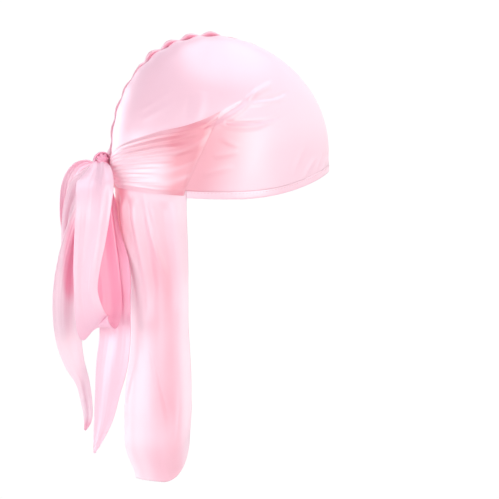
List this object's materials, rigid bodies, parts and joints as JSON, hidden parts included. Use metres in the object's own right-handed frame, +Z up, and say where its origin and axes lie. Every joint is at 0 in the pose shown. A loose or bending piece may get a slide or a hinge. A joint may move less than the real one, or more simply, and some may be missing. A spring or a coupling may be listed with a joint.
{
  "type": "durag",
  "caption": "Satin head wrap in worn form: crown with a puckered middle seam, gathered ties tied in a bow behind and a long cape over the neck.",
  "frame": {"origin": "middle of the head opening, level with the rim at the ears", "axes": "+X the wearer's forward, +Y the wearer's left, +Z up; the cape and the bow hang below and behind"},
  "size_m": [0.2613, 0.1612, 0.4186],
  "materials": {
    "crown_satin": "pink satin, bright soft sheen",
    "seam_satin": "pink satin, puckered raw-edged seam allowance",
    "hem_satin": "pink satin, turned and stitched",
    "tie_satin": "pink satin, pleated by the pull of the knot",
    "bow_satin": "pink satin, deeper pink in the folds",
    "cape_satin": "pink satin, soft upright folds"
  },
  "bodies": {
    "root": {"crown_panel_right": "crown_satin", "crown_panel_left": "crown_satin", "middle_seam": "seam_satin", "rim_hem_right": "hem_satin", "rim_hem_left": "hem_satin", "tie_wrap_right": "tie_satin", "tie_wrap_left": "tie_satin", "knot": "bow_satin", "bow_loop_right": "bow_satin", "bow_loop_left": "bow_satin", "tie_end_right": "bow_satin", "tie_end_left": "bow_satin", "cape": "cape_satin"}
  },
  "joints": []
}
